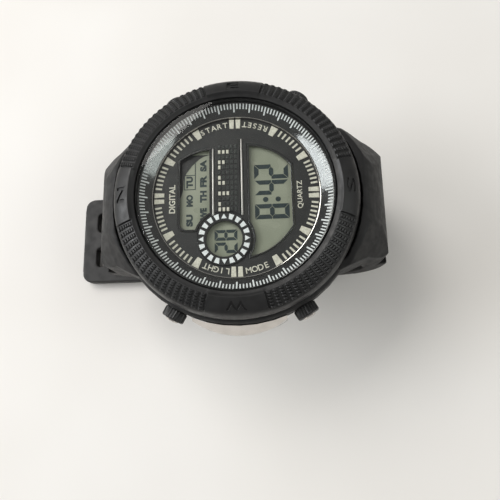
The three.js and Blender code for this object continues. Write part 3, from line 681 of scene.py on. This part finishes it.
def add_arc_label(build, text, first, last, outward):
    """Letters round the dial from clock angle first to last, their tops outward or inward."""
    for i, letter in enumerate(text):
        degrees = first + (last - first) * i / (len(text) - 1)
        upright = clock(degrees) - 90 + (0 if outward else 180)
        x, y = polar(16.0, clock(degrees))
        add_letters(build, letter, 1.2, shift(x, y, DIAL_Z + PRINT / 2) @ turn(upright), bold=0.01)


def dial_labels():
    build = bmesh.new()
    add_arc_label(build, "START", 64.3, 82.6, True)
    add_arc_label(build, "RESET", 113.6, 97.4, False)
    add_arc_label(build, "MODE", 261.7, 248.3, False)
    add_arc_label(build, "LIGHT", 277.0, 293.7, True)
    add_letters(build, "DIGITAL", 1.3, shift(-0.2, 13.35, DIAL_Z + PRINT / 2), bold=0.02, width=6.2)
    add_letters(build, "QUARTZ", 1.25, shift(-0.3, -13.25, DIAL_Z + PRINT / 2), bold=0.01, width=6.0)
    as_piece("dial_labels", build, "cream_ink", "case")


SEGMENTS = {"2": "abdeg", "4": "bcfg", "8": "abcdefg"}


def segment_outlines(width, height, stroke, gap=0.09):
    """The seven bars of a display digit with their slanting ends, from its lower left corner."""
    half, s, g = height / 2, stroke, gap
    flat = [(g, height), (width - g, height), (width - s - g, height - s), (s + g, height - s)]
    side = [
        (0, height - g), (0, half + g), (s * 0.5, half + g * 0.6),
        (s, half + s / 2 + g), (s, height - s - g),
    ]
    middle = [
        (s / 2 + g, half), (s + g, half + s / 2), (width - s - g, half + s / 2),
        (width - s / 2 - g, half), (width - s - g, half - s / 2), (s + g, half - s / 2),
    ]
    right_side = [(width - x, y) for x, y in side][::-1]

    def below(points):
        return [(x, height - y) for x, y in points][::-1]

    return {
        "a": flat, "b": right_side, "c": below(right_side), "d": below(flat),
        "e": below(side), "f": side, "g": middle,
    }


def add_digit(build, digit, left, bottom, width, height, stroke, level):
    for name, outline in segment_outlines(width, height, stroke).items():
        if name in SEGMENTS[digit]:
            add_prism(build, [(left + x, bottom + y) for x, y in outline], level, level + PRINT)


# Inner edge of the black mask that rounds off the day window towards 1 o'clock
DAY_MASK = (
    (-1.5, 12.6), (-0.4, 11.9), (0.9, 11.45), (2.1, 11.15), (3.4, 11.1), (4.6, 11.0), (5.6, 10.5), (6.5, 9.9),
    (7.3, 9.25), (7.9, 8.6), (8.7, 7.75), (9.2, 6.9), (9.6, 5.6),
)
DAY_MASK_FAR = 12.9


def display():
    level = LCD_Z + 0.02
    digits = bmesh.new()
    for digit, left in (("8", -5.1), ("4", 0.1), ("2", 3.6)):
        add_digit(digits, digit, left, -10.95, 3.2, 7.1, 0.92, level)
    for y in (-6.1, -8.7):
        add_prism(digits, disc_outline(0.55, -0.9, y, 24), level, level + PRINT)
    for digit, left in (("2", -12.0), ("8", -9.35)):
        add_digit(digits, digit, left, -0.1, 2.25, 4.7, 0.66, level)
    as_piece("display_digits", digits, "lcd_ink", "case")
    days = bmesh.new()
    for row, names in ((9.8, (("SU", -4.8), ("MO", -0.5), ("TU", 3.6))),
                       (6.9, (("WE", -3.5), ("TH", 0.3), ("FR", 3.7), ("SA", 7.2)))):
        for text, x in names:
            add_letters(days, text, 1.4, shift(x, row, level + PRINT / 2), bold=0.06, width=2.6)
    as_piece("weekday_letters", days, "lcd_ink", "case")
    box = bmesh.new()
    for width, length, x, y in (
        (0.16, 2.3, 1.95, 9.75), (0.16, 2.3, 5.15, 9.75), (3.36, 0.16, 3.55, 10.9), (6.0, 0.16, 4.87, 8.6),
    ):
        add_prism(box, rectangle(width, length, x, y), level, level + PRINT)
    as_piece("weekday_cursor", box, "lcd_ink", "case")
    mask = bmesh.new()
    first, last = DAY_MASK[0], DAY_MASK[-1]
    outline = [*DAY_MASK, (last[0], DAY_MASK_FAR), (first[0], DAY_MASK_FAR)]
    add_prism(mask, outline, level - 0.01, level + 0.05)
    as_piece("day_window_mask", mask, "dial_black", "case")


def subdial():
    x, y = SUBDIAL
    profile = [
        (3.72, 33.62), (4.12, 33.62), (4.12, 34.1), (5.5, 34.1), (5.6, 34.18), (5.6, 34.3),
        (5.48, 34.42), (3.86, 34.42), (3.74, 34.3),
    ]
    ring = bmesh.new()
    add_turning(ring, profile, 96)
    bmesh.ops.translate(ring, vec=(x, y, 0), verts=ring.verts)
    as_piece("subdial_ring_face", ring, "gloss_black", "case", ["subdial_ring"])
    marks = bmesh.new()
    for step in range(20):
        place = shift(x, y, 34.42) @ turn(clock(18 * step))
        if step % 5 == 0:
            outline = [(4.25, -0.56), (5.25, 0), (4.25, 0.56)]
        else:
            outline = [(4.2, -0.34), (5.3, -0.54), (5.3, 0.54), (4.2, 0.34)]
        add_prism(marks, outline, -0.02, 0.05, 0, place)
    as_piece("subdial_marks", marks, "white_ink", "case")


LIT_TILES = {0: (0, 1, 3, 5, 6, 8, 9, 11), 1: (0, 3, 5, 9, 11), 2: (0, 3, 11)}


def centre_band():
    """Five rows of small raised tiles between two bright rails; some tiles are printed cream."""
    columns, pitch_x, pitch_y = 13, 1.15, 0.86
    dark, lit = bmesh.new(), bmesh.new()
    for row in range(5):
        for column in range(columns):
            x, y = -3.0 + column * pitch_x, 3.35 - row * pitch_y
            if math.hypot(x - SUBDIAL[0], y - SUBDIAL[1]) < 6.0:
                continue
            outline = rectangle(0.82, 0.52, x, y)
            if column in LIT_TILES.get(row, ()):
                add_prism(lit, outline, DIAL_Z + 0.29, DIAL_Z + 0.5, 0.06)
            else:
                add_prism(dark, outline, DIAL_Z + 0.29, DIAL_Z + 0.46, 0.1)
    as_piece("band_tiles", dark, "tile_grey", "case")
    as_piece("band_lit_tiles", lit, "cream_ink", "case")
    rails = bmesh.new()
    for x0, x1, y in ((-4.3, 12.5, -1.3), (-4.4, 10.6, 4.72)):
        outline = rounded_rectangle(0.4, 0.34, 0.14, 3)
        loops = []
        for x in (x0, x0 + 0.1, x1 - 0.1, x1):
            k = 0.6 if x in (x0, x1) else 1
            loops.append([(x, y + k * u, DIAL_Z + 0.17 + k * v) for u, v in outline])
        add_loops(rails, loops)
    as_piece("band_rails", rails, "satin_silver", "case")


def dial():
    refined("dial_plate", "dial_face", "dial_black", 0.04, 1)
    refined("time_window_frame", "time_window_rim", "gloss_black", 0.06, 2)
    refined("day_window_frame", "day_window_rim", "gloss_black", 0.06, 2)
    refined("centre_panel", "centre_band_base", "dial_black", 0.05, 1)
    refined("lcd_panel", "lcd_cell_glass", "lcd_grey", 0.1, 2)
    chapter_ring()
    hour_markers()
    minute_strokes()
    dial_labels()
    display()
    subdial()
    centre_band()


SEAL_PROFILE = ((20.36, 36.42), (21.08, 36.42), (21.08, 36.82), (21.0, 36.9), (20.44, 36.9), (20.36, 36.82))


def crystal():
    build = bmesh.new()
    profile = ((20.15, 36.5), (20.2, 36.55), (20.2, 37.6), (20.12, 37.74), (20.02, 37.84), (19.9, 37.9))
    sides = 192
    add_loops(build, [[(*polar(r, 360 * i / sides), z) for i in range(sides)] for r, z in profile])
    # The lens's upright side wall gets black rubber: painted shade, standing in for the dark edge of the glass
    # inside the bezel.
    for face in build.faces:
        low, high = (pick(vert.co.z for vert in face.verts) for pick in (min, max))
        if low < 36.6 and high > 37.5:
            face.material_index = 1
    materials = ["crystal_glass", "black_rubber"]
    as_piece("crystal_lens", build, materials, "case", ["crystal"], sharp=20)
    gasket = bmesh.new()
    add_turning(gasket, SEAL_PROFILE, 192)
    as_piece("crystal_seal", gasket, "black_rubber", "case", ["crystal_gasket"])


# ================= case, buttons and strap =================
def smoothed(node, name, material, voxel=0.24, rounds=6):
    """A CAD node remeshed evenly and relaxed, so that every moulded edge is soft."""
    source = cad_mesh(node)
    mesh = bpy.data.meshes.new(name)
    source.to_mesh(mesh)
    source.free()
    holder = bpy.data.objects.new(name, mesh)
    bpy.context.scene.collection.objects.link(holder)
    remesh = holder.modifiers.new("even", "REMESH")
    remesh.mode = "VOXEL"
    remesh.voxel_size = voxel
    relax = holder.modifiers.new("relax", "SMOOTH")
    relax.factor = 0.5
    relax.iterations = rounds
    made = bpy.data.meshes.new_from_object(holder.evaluated_get(bpy.context.evaluated_depsgraph_get()))
    bpy.data.objects.remove(holder)
    build = bmesh.new()
    build.from_mesh(made)
    return as_piece(name, build, material, frame["nodes"][node]["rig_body"], [node], sharp=60)


BUTTON_PROFILE = (
    (0.0, 17.2), (0.85, 17.2), (0.85, 17.6), (0.6, 17.65), (0.6, 18.1), (0.85, 18.2), (0.85, 25.5), (2.3, 25.5),
    (2.45, 25.62), (2.45, 26.0), (2.25, 26.1), (2.25, 26.3), (2.45, 26.4), (2.45, 28.0), (2.38, 28.22),
    (2.2, 28.4), (1.5, 28.42), (1.4, 28.52), (1.25, 28.72), (0.8, 28.86), (0.4, 28.9), (0.0, 28.9),
)
BUTTON_DISC_FROM = 28.5  # the small bright disc in the middle of a pusher's dark end


def button(name, degrees):
    """A capped plunger: fluted barrel with a groove, and a polished domed end."""
    build = bmesh.new()
    sides, flutes = 144, 24
    rows = []
    for radius, reach in BUTTON_PROFILE[1:-1]:
        loop = []
        for i in range(sides):
            angle = 360 * i / sides
            fluted = radius > 2.4 and reach > 26.3
            depth = 0.09 * (1 - math.cos(math.radians(angle * flutes))) if fluted else 0
            y, z = polar(radius - depth, angle)
            loop.append((reach, y, z))
        rows.append(loop)
    add_loops(build, rows)
    for face in build.faces:
        if face.calc_center_median().x > BUTTON_DISC_FROM:
            face.material_index = 1
    bmesh.ops.transform(build, matrix=shift(0, 0, BUTTON_Z) @ turn(clock(degrees)), verts=build.verts)
    node = f"button_{name}"
    as_piece(f"pusher_{name}", build, ["pusher_black", "polished_steel"], node, [node])


def case():
    smoothed("case_body", "case_shell", "case_resin", 0.2, 4)
    for side in ("9", "3"):
        refined(f"side_plate_{side}", f"side_guard_{side}", "polished_steel", 0.1, 3, 25)
    refined("case_back", "case_back_plate", "turned_steel", 0.08, 2)
    for i in range(1, 5):
        refined(f"back_screw_{i}", f"back_screw_head_{i}", "polished_steel", 0.05, 2)
    for name, degrees in BUTTON_CLOCK.items():
        button(name, degrees)


def strap():
    smoothed("strap_6", "strap_6_band", "strap_resin", 0.2, 4)
    smoothed("strap_12", "strap_12_band", "strap_resin", 0.2, 4)
    smoothed("keeper", "keeper_loop", "strap_resin", 0.15, 4)
    refined("buckle_frame", "buckle_frame_bow", "brushed_steel", 0.35, 4)
    refined("double_prong", "buckle_prongs", "brushed_steel", 0.18, 3)
    refined("buckle_bar", "buckle_cross_bar", "polished_steel", 0.1, 2)


# ================= works inside the case, and small hardware =================
INNER = {
    "backlight_panel": ("white_plastic", "white_plastic"),
    "contact_strip_upper": ("black_rubber", "black_rubber"),
    "contact_strip_lower": ("black_rubber", "black_rubber"),
    "module_frame": ("white_plastic", "white_plastic"),
    "circuit_board": ("board_green", "board_green"),
    "battery": ("turned_steel", "polished_steel"),
    "battery_clip": ("brushed_steel", "polished_steel"),
    "sounder_disc": ("brass", "brass"),
    "sounder_spring": ("brass", "brass"),
    "case_gasket": ("black_rubber", "black_rubber"),
    "spring_bar_6": ("brushed_steel", "polished_steel"),
    "spring_bar_12": ("brushed_steel", "polished_steel"),
}


def works():
    inner = dict(INNER)
    for name in BUTTON_CLOCK:
        inner[f"button_{name}_spring"] = ("brushed_steel", "polished_steel")
        inner[f"button_{name}_seal"] = ("black_rubber", "black_rubber")
        inner[f"button_{name}_clip"] = ("brushed_steel", "polished_steel")
    for node, (material, slot) in inner.items():
        refined(node, f"{node}_part", material, 0.05, 1)


# ================= stage =================
def add_camera():
    data = bpy.data.cameras.new("camera")
    data.lens = CAMERA_LENS
    data.sensor_width = 36
    data.clip_start = 0.005
    data.clip_end = 10
    camera = bpy.data.objects.new("camera", data)
    forward = (CAMERA_LOOKS_AT - CAMERA_AT).normalized()
    right = forward.cross(CAMERA_UP).normalized()
    up = right.cross(forward)
    rotation = Matrix((right, up, -forward)).transposed().to_4x4()
    camera.matrix_world = Matrix.Translation(CAMERA_AT * MM) @ rotation
    bpy.context.scene.collection.objects.link(camera)
    bpy.context.scene.camera = camera


def add_softbox(name, at, aims, size, power, colour=(1, 1, 1)):
    """A square soft light at a place in metres, aimed at another."""
    data = bpy.data.lights.new(name, "AREA")
    data.shape = "RECTANGLE"
    data.size, data.size_y = size
    data.energy = power
    data.color = colour
    light = bpy.data.objects.new(name, data)
    light.location = at
    light.rotation_euler = (Vector(aims) - Vector(at)).to_track_quat("-Z", "Y").to_euler()
    bpy.context.scene.collection.objects.link(light)


def floor_material():
    shade = Shading("floor_paper")
    colours = ((0.80, 0.775, 0.74), (0.84, 0.82, 0.79))
    paper = shade.mix(shade.spread(shade.noise(60, 2.0), 0, 1), *colours)
    shade.links.new(paper, shade.surface.inputs["Base Color"])
    shade.relief(shade.noise(0.6, 3.0), 0.01)
    shade.surface.inputs["Roughness"].default_value = 0.8
    return shade.material


def add_stage():
    build = bmesh.new()
    bmesh.ops.create_grid(build, x_segments=1, y_segments=1, size=1.5)
    mesh = bpy.data.meshes.new("floor")
    build.to_mesh(mesh)
    build.free()
    mesh.materials.append(floor_material())
    floor = bpy.data.objects.new("floor", mesh)
    floor.location.z = -0.0002
    bpy.context.scene.collection.objects.link(floor)
    world = bpy.data.worlds.new("studio")
    world.use_nodes = True
    world.node_tree.nodes["Background"].inputs["Color"].default_value = (1.0, 0.98, 0.96, 1)
    world.node_tree.nodes["Background"].inputs["Strength"].default_value = 0.33
    bpy.context.scene.world = world
    bpy.context.scene.view_settings.view_transform = "Standard"
    target = (0, 0, 0.03)
    add_softbox("window", (0.02, 0.5, 0.36), target, (0.36, 0.24), 2.3, (0.96, 0.98, 1.0))
    add_softbox("key", (0.45, 0.42, 0.7), target, (0.5, 0.5), 3.9, (1.0, 0.975, 0.94))
    add_softbox("far_wall", (-0.08, -0.47, 0.53), target, (0.3, 0.24), 0.9, (0.95, 1.0, 0.97))


add_camera()
add_stage()
bezel()
dial()
crystal()
case()
strap()
works()
